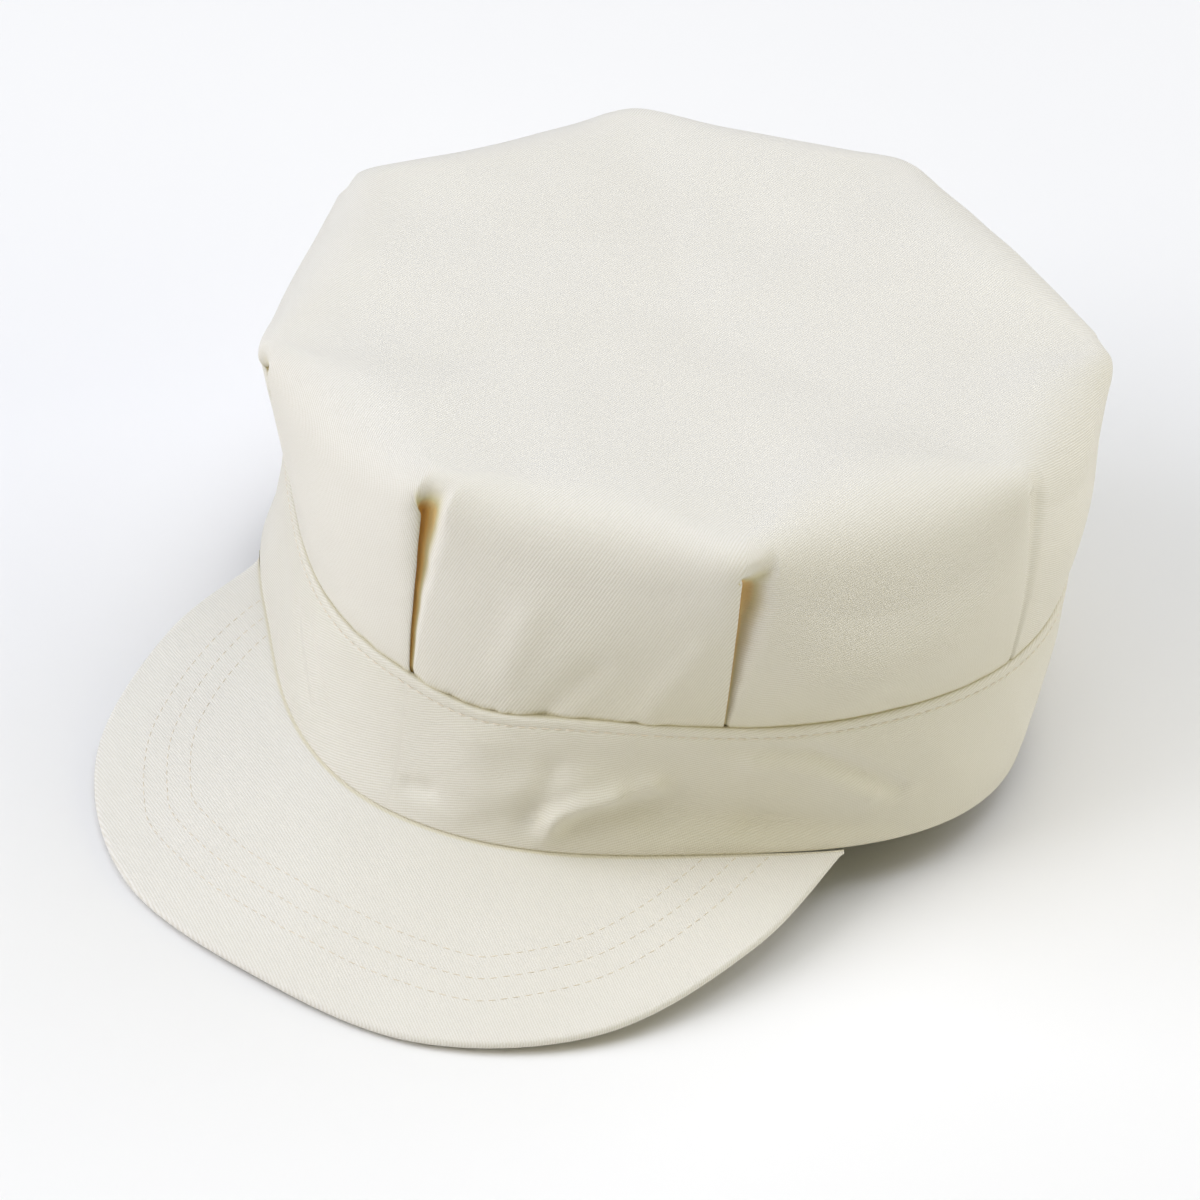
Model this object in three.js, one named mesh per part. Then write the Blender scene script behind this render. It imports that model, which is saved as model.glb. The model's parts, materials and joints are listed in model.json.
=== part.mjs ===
import * as THREE from "three";

// A workwear cap: one cloth crown folded over eight soft corners, a plain headband and a short stiff peak.
// Sizes are in millimetres. The cap is first described upright, as it is worn: Z is its axis, the front
// faces -Y, and the centre of the band's lower edge is the origin. Angles, in degrees, go round the axis
// from the front towards +X. At the end the cap is leaned back until it rests on its peak and rear rim.

// Driving dimensions
const HEAD_GIRTH = 585; // round the outside of the band, for a 58 cm head
const BAND_HEIGHT = 38;
const BAND_RISE = 3; // the band's upper edge is this much higher at the back, and lower at the front
const BAND_WALL = 2.4; // doubled cloth with its seam allowance
const CROWN_WALL = 1.8;
const CROWN_CENTRE_HEIGHT = 85;
const TOP_EASE = 1.7; // above 1, the top levels out towards its centre
const PEAK_THICKNESS = 2.8; // a board between two layers of cloth
const PEAK_HALF_ANGLE = 66; // the peak is sewn to the band from the front to this angle on each side
const SEAM_GAP = 0.3; // clearance between pieces that are sewn together
const CORNER_STEP = 45;

// How far the band's edges stand out of a plain circle in each direction
const BAND_SHAPE = [
  { angle: 0, lower: 5.6, upper: 2.2 },
  { angle: 45, lower: -5.8, upper: -4.8 },
  { angle: 90, lower: 1.6, upper: 2.4 },
  { angle: 135, lower: -4.6, upper: -1.4 },
  { angle: 180, lower: 2.5, upper: 2.6 },
  { angle: 225, lower: -3.5, upper: -1 },
  { angle: 270, lower: 6.5, upper: 1.6 },
  { angle: 315, lower: -4.8, upper: -7 },
];

// The crown's corners, one for each eighth of the band: direction, distance from the axis, height over
// the band's lower edge, how far the side below swells out of a straight line, and how far the edge sags
// on its way to the next corner
const CORNERS = [
  { angle: -0.4, radius: 96.5, height: 84.5, swell: 0, sag: 0.5 },
  { angle: 43.5, radius: 95, height: 82, swell: 0, sag: 0.5 },
  { angle: 91, radius: 91.5, height: 84.5, swell: 0.5, sag: 0.5 },
  { angle: 130, radius: 97.6, height: 82.3, swell: 1.2, sag: -1.5 },
  { angle: 183, radius: 93.4, height: 86.8, swell: 1.5, sag: 1 },
  { angle: 225, radius: 93.4, height: 86, swell: 1, sag: 2 },
  { angle: 272, radius: 93.4, height: 84, swell: 0, sag: 0 },
  { angle: 319.6, radius: 98, height: 80.5, swell: -0.3, sag: 0.5 },
];

// The crown's edge is rolled over softly between two corners, and tightly at a corner.
const EDGE_ROLL = { corner: 5, middle: 14 };
const ROLL_LOSS = 0.25; // share of its size that a roll takes off a square rim, each way
const PANEL_SWELL = 1;
const FOOT_TUCK = 1.2; // the crown's foot starts this far inside the band's face

// A knife pleat hangs from each corner. Past its fold the next panel starts this far inside the last one.
const PLEAT_DEPTHS = [
  { share: 0, depth: 1.3 },
  { share: 0.45, depth: 1.8 },
  { share: 0.7, depth: 3.6 },
  { share: 0.86, depth: 4.6 },
  { share: 1, depth: 0 },
];
const PLEAT_FADE = 11; // degrees over which the next panel comes back out
const PLEAT_TURN = 1.1; // degrees that the fold's step takes

// Soft dents pressed into the band: place, depth, half sizes, and how far they lean with height
const BAND_DENTS = [
  { angle: 33, height: 12, depth: 3, halfAngle: 14, halfHeight: 7, lean: 0.3 },
  { angle: 52, height: 10, depth: 2, halfAngle: 10, halfHeight: 7, lean: 0 },
  { angle: 4, height: 9, depth: 0.6, halfAngle: 9, halfHeight: 8, lean: -0.2 },
  { angle: 22, height: 16, depth: -1.6, halfAngle: 8, halfHeight: 6, lean: 0.9 },
  { angle: 118, height: -4, depth: 2.5, halfAngle: 22, halfHeight: 14, lean: 0 },
];

// The right half of the peak's outline: distance to the side, reach in front of the axis, drop
const PEAK_OUTLINE = [
  { side: 0, reach: 142.6, drop: 21.2 },
  { side: 41.6, reach: 136.4, drop: 20.7 },
  { side: 72.3, reach: 110.3, drop: 15.9 },
  { side: 84.2, reach: 72, drop: 6.6 },
];
const PEAK_BOW = 1.2; // how far the peak's middle stands above a straight slope
const PEAK_EDGE = 1.3; // rounding of the covered edge

// Fineness of the faceted surfaces
const BAND_COLUMNS = 96;
const BAND_LEVELS = [0, 0.14, 0.3, 0.48, 0.66, 0.84, 1];
const PANEL_COLUMNS = [0, PLEAT_TURN, 3, 7, 11.5, 17, 23, 29, 35, 40, 43.5]; // degrees past a fold
const SIDE_LEVELS = [0, 0.17, 0.34, 0.5, 0.64, 0.78, 0.9];
const ROLL_STEPS = 5;
const TOP_LEVELS = [0.2, 0.45, 0.72];
const PEAK_STATIONS = 48;
const PEAK_SHARES = [0.12, 0.3, 0.5, 0.7, 0.88];

const radians = THREE.MathUtils.degToRad;
const mix = THREE.MathUtils.lerp;

function roundPoint(angle, radius, height) {
  const a = radians(angle);
  return new THREE.Vector3(radius * Math.sin(a), -radius * Math.cos(a), height);
}

// A smooth value between the rows of a table, whose ends are level
function tableValue(rows, key, column, at) {
  const next = rows.findIndex((row) => row[key] >= at);
  if (next <= 0) return rows[Math.max(next, 0)][column];
  const before = rows[next - 1];
  const share = (at - before[key]) / (rows[next][key] - before[key]);
  return mix(before[column], rows[next][column], THREE.MathUtils.smoothstep(share, 0, 1));
}

// A smooth value all the way round a table with a row every eighth of a turn
function roundValue(rows, column, angle) {
  const place = THREE.MathUtils.euclideanModulo(angle, 360) / CORNER_STEP;
  const first = Math.floor(place);
  const [before, from, to, after] = [-1, 0, 1, 2].map((k) => rows[(first + k + 8) % 8][column]);
  const share = place - first;
  const slopes = [(to - before) / 2, (after - from) / 2];
  const bend = 2 * (from - to) + slopes[0] + slopes[1];
  const lean = 3 * (to - from) - 2 * slopes[0] - slopes[1];
  return from + share * (slopes[0] + share * (lean + share * bend));
}

// Closed skin through a row of rings. A ring of one point closes an end; without such ends the last
// ring joins the first.
function skin(rings) {
  const points = rings.flat();
  const starts = [];
  let count = 0;
  for (const ring of rings) {
    starts.push(count);
    count += ring.length;
  }
  const round = Math.max(...rings.map((ring) => ring.length));
  const faces = [];
  const bands = rings[0].length === 1 ? rings.length - 1 : rings.length;
  for (let i = 0; i < bands; i += 1) {
    const j = (i + 1) % rings.length;
    for (let k = 0; k < round; k += 1) {
      const a = starts[i] + (k % rings[i].length);
      const b = starts[i] + ((k + 1) % rings[i].length);
      const c = starts[j] + ((k + 1) % rings[j].length);
      const d = starts[j] + (k % rings[j].length);
      if (a !== b) faces.push([a, b, c]);
      if (c !== d) faces.push([a, c, d]);
    }
  }
  let volume = 0;
  for (const [a, b, c] of faces) {
    volume += points[a].dot(points[b].clone().cross(points[c]));
  }
  if (volume < 0) faces.forEach((face) => face.reverse());
  const geometry = new THREE.BufferGeometry();
  geometry.setAttribute("position", new THREE.Float32BufferAttribute(points.flatMap((p) => p.toArray()), 3));
  geometry.setIndex(faces.flat());
  geometry.computeVertexNormals();
  return geometry;
}

// Headband

const bandTop = (angle) => BAND_HEIGHT - BAND_RISE * Math.cos(radians(angle));

function dentDepth(angle, height) {
  let depth = 0;
  for (const dent of BAND_DENTS) {
    const centre = dent.angle + dent.lean * (height - dent.height);
    const across = (THREE.MathUtils.euclideanModulo(angle - centre + 180, 360) - 180) / dent.halfAngle;
    const up = (height - dent.height) / dent.halfHeight;
    depth += dent.depth * Math.exp(-across * across - up * up);
  }
  return depth;
}

function bandRadius(angle, share) {
  const ease = share * (2 - share);
  const shape = mix(roundValue(BAND_SHAPE, "lower", angle), roundValue(BAND_SHAPE, "upper", angle), ease);
  return HEAD_GIRTH / (2 * Math.PI) + shape - dentDepth(angle, share * bandTop(angle));
}

function bandGeometry() {
  const rings = [];
  for (let i = 0; i < BAND_COLUMNS; i += 1) {
    const angle = (i * 360) / BAND_COLUMNS;
    const wall = (inset) => (share) =>
      roundPoint(angle, bandRadius(angle, share) - inset, share * bandTop(angle));
    rings.push([...BAND_LEVELS.map(wall(0)), ...[...BAND_LEVELS].reverse().map(wall(BAND_WALL))]);
  }
  return skin(rings);
}

// Crown

// The crown's edge between a corner and the next one, at a share of the way, with its square rim and roll
function edgePoint(corner, share) {
  const a = CORNERS[corner];
  const b = CORNERS[(corner + 1) % CORNERS.length];
  const span = THREE.MathUtils.euclideanModulo(b.angle - a.angle, 360);
  const past = span * share;
  const weightA = a.radius * Math.sin(radians(past));
  const weightB = b.radius * Math.sin(radians(span - past));
  const along = weightA / (weightA + weightB);
  const middle = 4 * along * (1 - along);
  const roll = mix(EDGE_ROLL.corner, EDGE_ROLL.middle, middle);
  const chord = (a.radius * b.radius * Math.sin(radians(span))) / (weightA + weightB);
  return {
    angle: a.angle + past,
    radius: chord + ROLL_LOSS * roll,
    height: mix(a.height, b.height, along) - a.sag * middle + ROLL_LOSS * roll,
    swell: mix(a.swell, b.swell, along) + PANEL_SWELL * middle,
    roll,
  };
}

// How far the panel after a pleat lies inside the one before it, at degrees past the fold and a share of
// the side's height
function pleatDepth(past, share) {
  const depth = tableValue(PLEAT_DEPTHS, "share", "depth", share);
  return depth * (1 - THREE.MathUtils.smoothstep(past, PLEAT_TURN, PLEAT_FADE));
}

// One upright section of the crown at some degrees past a fold, from its foot to near its centre
function crownSection(corner, past) {
  const edge = edgePoint(corner, past / CORNER_STEP);
  const footAngle = corner * CORNER_STEP + past;
  const foot = new THREE.Vector2(bandRadius(footAngle, 1) - FOOT_TUCK, bandTop(footAngle) + SEAM_GAP);
  const rim = new THREE.Vector2(edge.radius, edge.height);
  const centre = new THREE.Vector2(0, CROWN_CENTRE_HEIGHT);
  const rollStart = rim.clone().add(foot.clone().sub(rim).setLength(edge.roll));
  const rollEnd = rim.clone().add(centre.clone().sub(rim).setLength(edge.roll));
  const section = SIDE_LEVELS.map((level) => {
    const point = foot.clone().lerp(rollStart, level);
    point.x += edge.swell * Math.sin(Math.PI * level);
    return point;
  });
  section.push(...new THREE.QuadraticBezierCurve(rollStart, rim, rollEnd).getPoints(ROLL_STEPS - 1));
  for (const level of TOP_LEVELS) {
    const height = mix(centre.y, rollEnd.y, (1 - level) ** TOP_EASE);
    section.push(new THREE.Vector2(rollEnd.x * (1 - level), height));
  }
  return section.map((point) => {
    const share = Math.min((point.y - foot.y) / (rim.y - foot.y), 1);
    const onSide = point.x > edge.radius - edge.roll;
    const inset = onSide && past > 0 ? pleatDepth(past, share) : 0;
    return { angle: mix(footAngle, edge.angle, share), radius: point.x - inset, height: point.y };
  });
}

// The same section moved inwards by the wall's thickness
function lining(section) {
  return section.map((point, i) => {
    const before = section[Math.max(i - 1, 0)];
    const after = section[Math.min(i + 1, section.length - 1)];
    const along = new THREE.Vector2(after.radius - before.radius, after.height - before.height).normalize();
    const radius = point.radius - along.y * CROWN_WALL;
    return { angle: point.angle, radius, height: point.height + along.x * CROWN_WALL };
  });
}

function crownGeometry() {
  const sections = CORNERS.flatMap((_, corner) => PANEL_COLUMNS.map((past) => crownSection(corner, past)));
  const linings = sections.map(lining);
  const levels = [...sections[0].keys()];
  const ring = (walls) => (i) => walls.map(({ [i]: p }) => roundPoint(p.angle, p.radius, p.height));
  return skin([
    [new THREE.Vector3(0, 0, CROWN_CENTRE_HEIGHT)],
    ...[...levels].reverse().map(ring(sections)),
    ...levels.map(ring(linings)),
    [new THREE.Vector3(0, 0, CROWN_CENTRE_HEIGHT - CROWN_WALL)],
  ]);
}

// Peak

function peakOutline() {
  const seamEnd = roundPoint(PEAK_HALF_ANGLE, bandRadius(PEAK_HALF_ANGLE, 0), -SEAM_GAP);
  const right = PEAK_OUTLINE.map((row) => new THREE.Vector3(row.side, -row.reach, -row.drop));
  right.push(seamEnd);
  const left = right.slice(1).map((point) => new THREE.Vector3(-point.x, point.y, point.z));
  return new THREE.CatmullRomCurve3([...left.reverse(), ...right], false, "centripetal");
}

// One slice of the peak, from the band outwards: its upper side, its rounded edge and its underside
function peakSlice(share, outline) {
  const angle = mix(-PEAK_HALF_ANGLE, PEAK_HALF_ANGLE, share);
  const rim = bandRadius(angle, 0);
  const seam = roundPoint(angle, rim, -SEAM_GAP);
  const hidden = roundPoint(angle, rim - BAND_WALL, -SEAM_GAP);
  const edge = outline.getPointAt(share);
  const outward = roundPoint(angle, 1, 0);
  const run = Math.max(edge.clone().sub(seam).setZ(0).length(), PEAK_EDGE);
  const normal = outward.multiplyScalar(seam.z - edge.z).setZ(run).normalize();
  const upper = [hidden, seam];
  for (const along of PEAK_SHARES) {
    const bow = PEAK_BOW * Math.sin(Math.PI * along) * Math.sin(Math.PI * share);
    upper.push(seam.clone().lerp(edge, along).addScaledVector(normal, bow));
  }
  const shoulder = edge.clone().lerp(seam, Math.min(PEAK_EDGE / run, 0.5));
  upper.push(shoulder);
  const under = upper.map((point) => point.clone().addScaledVector(normal, -PEAK_THICKNESS)).reverse();
  const lip = edge.clone().addScaledVector(normal, -PEAK_THICKNESS / 2);
  return [...upper, lip, ...under];
}

function peakGeometry() {
  const outline = peakOutline();
  const slices = [];
  for (let i = 1; i < PEAK_STATIONS; i += 1) slices.push(peakSlice(i / PEAK_STATIONS, outline));
  const middle = (ring) => ring.reduce((sum, p) => sum.add(p), new THREE.Vector3()).divideScalar(ring.length);
  return skin([[middle(slices[0])], ...slices, [middle(slices.at(-1))]]);
}

// Assembly

function piece(name, geometry, colour, roughness) {
  const material = new THREE.MeshStandardMaterial({ color: colour, roughness, metalness: 0 });
  const mesh = new THREE.Mesh(geometry, material);
  mesh.name = name;
  return mesh;
}

// The lean that sets the peak's front edge and the band's rear rim on one floor
function restingLean(peak) {
  const rear = roundPoint(180, bandRadius(180, 0), 0);
  const position = peak.geometry.getAttribute("position");
  let lean = 0;
  for (let i = 0; i < position.count; i += 1) {
    lean = Math.max(lean, Math.atan2(rear.z - position.getZ(i), rear.y - position.getY(i)));
  }
  return lean;
}

const band = piece("band", bandGeometry(), "#ddd9cf", 0.85);
const crown = piece("crown", crownGeometry(), "#e4e2dc", 0.85);
const peak = piece("peak", peakGeometry(), "#e6e4de", 0.8);

const cap = new THREE.Group();
cap.add(crown, band, peak);
cap.rotation.x = -restingLean(peak);

// The origin is the bottom centre of the leaned cap's box.
const object = new THREE.Group();
object.add(cap);
const box = new THREE.Box3().setFromObject(object, true);
const centre = box.getCenter(new THREE.Vector3());
cap.position.set(-centre.x, -centre.y, -box.min.z);

export default object;
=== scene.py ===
"""The looks of an eight panel cap in ivory twill: one cloth gathered into eight pleats, a doubled
headband with a row of topstitching, and a short stitched peak.

Shapes are worked out in millimetres in the cap's own frame, where the headband's lower edge lies
flat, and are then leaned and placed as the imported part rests. Angles are in degrees from the front,
growing towards +X.
"""

import json
import math

import bpy
import numpy as np
from mathutils import Matrix, Vector


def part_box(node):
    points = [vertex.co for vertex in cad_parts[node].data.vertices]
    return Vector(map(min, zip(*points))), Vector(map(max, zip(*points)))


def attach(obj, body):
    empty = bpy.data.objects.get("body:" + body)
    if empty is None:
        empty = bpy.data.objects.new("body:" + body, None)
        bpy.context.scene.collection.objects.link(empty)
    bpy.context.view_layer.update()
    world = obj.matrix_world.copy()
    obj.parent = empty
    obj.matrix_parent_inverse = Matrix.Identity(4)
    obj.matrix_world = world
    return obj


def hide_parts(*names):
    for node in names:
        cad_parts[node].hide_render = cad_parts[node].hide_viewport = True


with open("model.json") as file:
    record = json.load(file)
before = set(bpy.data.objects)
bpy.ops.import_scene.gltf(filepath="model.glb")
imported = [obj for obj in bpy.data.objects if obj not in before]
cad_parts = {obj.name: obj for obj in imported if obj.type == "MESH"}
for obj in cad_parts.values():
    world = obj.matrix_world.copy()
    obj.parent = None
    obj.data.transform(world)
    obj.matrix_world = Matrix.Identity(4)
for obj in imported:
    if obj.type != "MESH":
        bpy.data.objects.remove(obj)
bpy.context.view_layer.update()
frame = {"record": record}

# Sizes shared with the solids, in millimetres

HEAD_GIRTH = 585
BAND_HEIGHT = 38
BAND_RISE = 3
BAND_WALL = 2.4
CROWN_CENTRE_HEIGHT = 85
PEAK_THICKNESS = 2.8
PEAK_HALF_ANGLE = 66
SEAM_GAP = 0.3
CORNER_STEP = 45
CAD_BAND_COLUMNS = 96

# The headband's lower and upper edge against the girth's circle, at every eighth of the way round
BAND_LOWER = [5.6, -5.8, 1.6, -4.6, 2.5, -3.5, 6.5, -4.8]
BAND_UPPER = [2.2, -4.8, 2.4, -1.4, 2.6, -1, 1.6, -7]

# The crown's corners, each with its angle, radius, height, and how its sides swell and sag
CORNER_ANGLES = [-0.4, 43.5, 91, 130, 183, 225, 272, 319.6]
CORNER_RADII = [96.5, 95, 91.5, 97.6, 93.4, 93.4, 93.4, 98]
CORNER_HEIGHTS = [84.5, 82, 84.5, 82.3, 86.8, 86, 84, 80.5]
CORNER_SWELLS = [0, 0, 0.5, 1.2, 1.5, 1, 0, -0.3]
CORNER_SAGS = [0.5, 0.5, 0.5, -1.5, 1, 2, 0, 0.5]
CORNER_ROLL = 7
CORNER_SOFTNESS = 0.09
CORNER_PUSH = 0.8
CORNER_WIDTH = 0.12
PANEL_ROLLS = [16, 26, 20, 16, 14, 14, 14, 18]
ROLL_LOSS = 0.25
PANEL_SWELLS = [1.5, 3, 1.5, 1, 1, 1, 1, 1]

BAND_DENTS = [
    # angle, height, depth, half angle, half height, lean
    (33, 12, 3, 14, 7, 0.3),
    (52, 10, 2, 10, 7, 0),
    (4, 9, 0.6, 9, 8, -0.2),
    (22, 16, -1.6, 8, 6, 0.9),
    (118, -4, 2.5, 22, 14, 0),
]

# The peak's free edge: how far to the side, forward of the middle, and down
PEAK_OUTLINE = [(0, 142.6, 21.2), (41.6, 136.4, 20.7), (72.3, 110.3, 15.9), (84.2, 72, 6.6)]
PEAK_BOW = 1.2
PEAK_EDGE = 1.3

# How far from the ends of its seam the peak is full thick, and how much thinner than the solid it is
PEAK_FADE = 8
PEAK_SLIMMING = 0.5

# Pleats, by the share of the crown's side from its foot to its rim

PLEAT_SHARES = [0, 0.2, 0.4, 0.62, 0.86, 1]
PLEAT_DROP = [0.3, 0.5, 0.8, 1.3, 2, 2]
PLEAT_GAP = [0.25, 0.7, 1.2, 2, 2.8, 2.8]
PLEAT_ROLL = [1.4, 3, 4.4, 6.4, 8.4, 8.4]
PLEAT_LAP = [3, 2.6, 2.2, 1.8, 1.6, 1.6]
PLEAT_MOUTH = [0.35, 0.4, 0.5, 0.7, 1, 1]
PLEAT_SHOULDER = [2, 3, 4, 5, 5.5, 5.5]
PLEAT_FOLD = 0.5
PANEL_WIDTH = 74.6

# Each pleat against the tables above, from the front corner round. Its pocket opens under the rim
# between the shares high and low of the side, and slant lifts them to its right. Between the shares
# start and closed its fold grows out of a smooth hollow. The mouth is in millimetres, and deep shade
# is how strongly its recess takes painted shade.
PLEATS = [
    # drop, gap, roll, mouth, shoulder, deep shade, low, high, slant, start, closed
    (1, 0.8, 0.9, 1.2, 1, 1, 0.86, 1.04, 0, 0.97, 0.84),
    (0.35, 1.2, 1, 1.5, 0.8, 1, 0.87, 0.952, 0.0065, 0.936, 0.908),
    (0.1, 0.15, 0.75, 3.4, 0.8, 0, 0.9, 0.99, 0, 0.94, 0.92),
    (0.8, 0.8, 0.9, 0.5, 0.9, 0.4, 0.84, 1, 0.002, 0.91, 0.84),
    (0.6, 1, 1, 0.5, 0.9, 0.3, 0.85, 0.98, 0.004, 0.92, 0.86),
    (0.9, 0.9, 0.9, 0.5, 1, 0.4, 0.84, 1, 0.001, 0.91, 0.84),
    (0.7, 0.9, 1.1, 0.5, 0.9, 0.3, 0.85, 0.98, 0.003, 0.92, 0.86),
    (0.8, 0.8, 0.9, 0.5, 1, 0.4, 0.84, 1.01, 0, 0.91, 0.84),
]

# Creases of the crown's sides and the headband: depth, half width, and their line of angles and
# heights, with ridges as negative depths
CROWN_CREASES = [
    (1.3, 3.2, [(19.5, 35), (22, 41), (26, 49)]),
    (0.7, 6, [(27, 40), (32, 50)]),
    (-0.9, 3.4, [(34, 38), (36.5, 47), (40, 58)]),
    (-0.8, 4, [(14.5, 44), (16.5, 60)]),
    (-0.7, 3, [(51, 42), (55, 52)]),
    (0.8, 3, [(57, 40), (60, 47)]),
]
BAND_CREASES = [
    (-1.8, 2.4, [(23, 9), (26.3, 13.6), (31, 16.4)]),
    (-2.2, 3, [(22.2, 0), (22.8, 6.5), (24.2, 11), (27.2, 14), (31.5, 16.4), (36, 18.4)]),
    (0.65, 4.2, [(38, 7), (46, 7.5), (59, 7.5), (66, 6.5), (71, 5)]),
    (0.8, 4, [(52, 6.5), (66, 6.5)]),
    (0.8, 6, [(26, 24), (60, 23)]),
    (1, 3, [(22.2, 22), (22, 19), (20.4, 12.5), (19.5, 8)]),
    (-1, 9, [(12, 26), (10.5, 8)]),
    (0.9, 2.2, [(5.6, 8.4), (2.8, 7.5)]),
    (0.5, 2.5, [(14.9, 5), (13, 4)]),
    (1.2, 2.6, [(47, 30.5), (58, 28.5), (66, 21.5), (72.6, 14.5)]),
    (-1, 3, [(50, 25), (60, 22), (68, 15)]),
    (0.7, 2, [(-30, 22), (-25, 15), (-19.5, 8)]),
    (0.5, 2, [(-24, 24), (-18, 16), (-12.6, 9)]),
]

# Cloth, in millimetres: its thickness, a degree round the cap, the crown's side, and the turns of
# the headband's edges
CLOTH = 0.5
DEGREE = 1.6
SIDE_HEIGHT = 45
BAND_LIP = 0.8
BAND_FOOT = 0.7
INNER_EDGE = 0.5

# Soft relief of each surface: height, wavelength and seed
CROWN_RIPPLES = [(0.3, 42, 3), (0.12, 17, 4)]
BAND_RIPPLES = [(0.3, 30, 11), (0.12, 12, 12)]
PEAK_RIPPLES = [(0.18, 34, 21)]

# The seam between crown and headband: where it droops (angle, depth, reach in degrees), how the
# crown tucks in behind it (angle, depth), and its puckers, which die out to a rest of their height
SEAM_DROOPS = [(11, 2.6, 9.5), (52, 1.5, 16)]
SEAM_TUCK = 0.7
SEAM_DEPTH = 0.4
SEAM_WIDTH = 0.45
SEAM_TUCKS = [
    (-9, 0.4), (-3, 0.4), (-1.5, 0.4), (6.5, 0.6), (7.8, 0.55), (9.4, 0.6),
    (10.5, 0.5), (13, 0.55), (15.1, 0.6), (19.6, 0.4), (25.3, 0.3), (32.2, 0.6),
]
TUCK_WIDTH = 1.1
TUCK_SLANT = 0.25
TUCK_REACH = 1.5
PUCKER = 0.45
PUCKER_ANGLE = -6
PUCKER_SPREAD = 17
PUCKER_REST = 0.2
PUCKER_REACH = 3
PUCKER_WAVELENGTH = 5.5
PUCKER_SEED = 5

# How strongly the cloth takes painted shade, olive up to a half and golden brown beyond, from 0 to 1
SIDE_PAINTED_SHADE = 0.15
SIDE_SHADE_ANGLE = 51
SIDE_SHADE_REACH = 33
SEAM_PAINTED_SHADE = 0.04
SEAM_PAINTED_SHADE_REACH = 8
FOLD_PAINTED_SHADE = 0.85
SEAM_SHADE = 0.24
SEAM_SHADE_REACH = 0.35
GROOVE_PAINTED_SHADE = 0.2
LIP_PAINTED_SHADE = 0.25

# Topstitching of the headband, and the stitches of both
STITCH_DROP = 2.3
STITCH_GROOVE = 0.22
STITCH_GROOVE_WIDTH = 0.4
STITCH_PITCH = 2.7
BAND_THREAD = 0.34
PEAK_THREAD = 0.26

# Mesh grids: the columns of each of a pleat's stretches and of each panel, the columns over which
# the grain of the cloth turns to the next panel, where the crown's foot starts behind its seam, and
# the headband's columns and its closer rows round the topstitching
PLEAT_STEPS = (9, 5, 4, 5, 5, 14)
PANEL_COLUMNS = [64, 18, 18, 18, 18, 18, 18, 18]
GRAIN_TURN = (14, 29)
FOOT_RISE = -0.04
BAND_COLUMNS = 640
FINE_DEPTH = 3.2
FINE_STEP = 0.2


def smoothstep(value, low, high):
    share = np.clip((value - low) / (high - low), 0, 1)
    return share * share * (3 - 2 * share)


def mix(a, b, share):
    return a + (b - a) * share


def table_value(keys, values, at):
    """A value eased between the rows of a table."""
    at = np.asarray(at, float)
    row = np.clip(np.searchsorted(keys, at, side="right") - 1, 0, len(keys) - 2)
    keys, values = np.array(keys, float), np.array(values, float)
    return mix(values[row], values[row + 1], smoothstep(at, keys[row], keys[row + 1]))


def wrapped(angle):
    """An angle brought between -180 and 180 degrees."""
    return np.mod(angle + 180, 360) - 180


def bell(off, width):
    """A bell curve, 1 at its middle and 0.37 a width off it."""
    return np.exp(-((off / width) ** 2))


def cubic(start, end, slope_start, slope_end, share):
    """A curve from start to end that leaves and arrives at the given slopes."""
    rest = 3 * (end - start) - 2 * slope_start - slope_end
    bend = 2 * (start - end) + slope_start + slope_end
    return start + share * (slope_start + share * (rest + share * bend))


def round_value(values, angle):
    """A value curved smoothly through the ones at every eighth of the way round."""
    values = np.array(values, float)
    place = np.mod(angle, 360) / CORNER_STEP
    row = np.floor(place).astype(int)
    share = place - row
    before, start, end, after = (values[(row + step) % 8] for step in (-1, 0, 1, 2))
    return cubic(start, end, (end - before) / 2, (after - start) / 2, share)


def smooth_through(keys, values, at):
    """A value curved smoothly through the rows of an evenly spaced table."""
    padded = np.concatenate([[2 * values[0] - values[1]], values, [2 * values[-1] - values[-2]]])
    place = np.asarray(at) * (len(keys) - 1)
    row = np.clip(np.floor(place).astype(int), 0, len(keys) - 2)
    share = place - row
    before, start, end, after = (padded[row + step] for step in range(4))
    return cubic(start, end, (end - before) / 2, (after - start) / 2, share)


def round_point(angle, radius, height):
    turn = np.radians(angle)
    return np.stack(np.broadcast_arrays(radius * np.sin(turn), -radius * np.cos(turn), height), axis=-1)


def unit(vectors):
    return vectors / np.maximum(np.linalg.norm(vectors, axis=-1, keepdims=True), 1e-9)


def ripple(points, wavelength, seed, waves=14):
    """Soft random relief from -1 to 1 or so, over points in millimetres."""
    chance = np.random.default_rng(seed)
    total = np.zeros(points.shape[:-1])
    for _ in range(waves):
        direction = unit(chance.normal(size=3))
        length = wavelength * chance.uniform(0.75, 1.5)
        total += np.cos(points @ direction * 2 * math.pi / length + chance.uniform(0, 2 * math.pi))
    return total * math.sqrt(2 / waves) / 1.6


def ripples(points, waves):
    """The sum of several soft reliefs, each with its height, wavelength and seed."""
    return sum(height * ripple(points, wavelength, seed) for height, wavelength, seed in waves)


def crease_depth(creases, angle, height):
    """How deep the creases are at each place, in millimetres."""
    depth = 0
    angle = wrapped(angle)
    for deep, half_width, line in creases:
        nearest = np.inf
        for (angle_a, height_a), (angle_b, height_b) in zip(line, line[1:]):
            run_x, run_y = (angle_b - angle_a) * DEGREE, height_b - height_a
            off_x, off_y = (angle - angle_a) * DEGREE, height - height_a
            share = np.clip((off_x * run_x + off_y * run_y) / (run_x**2 + run_y**2), 0, 1)
            nearest = np.minimum(nearest, np.hypot(off_x - share * run_x, off_y - share * run_y))
        depth = depth + deep * bell(nearest, half_width)
    return depth


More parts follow.
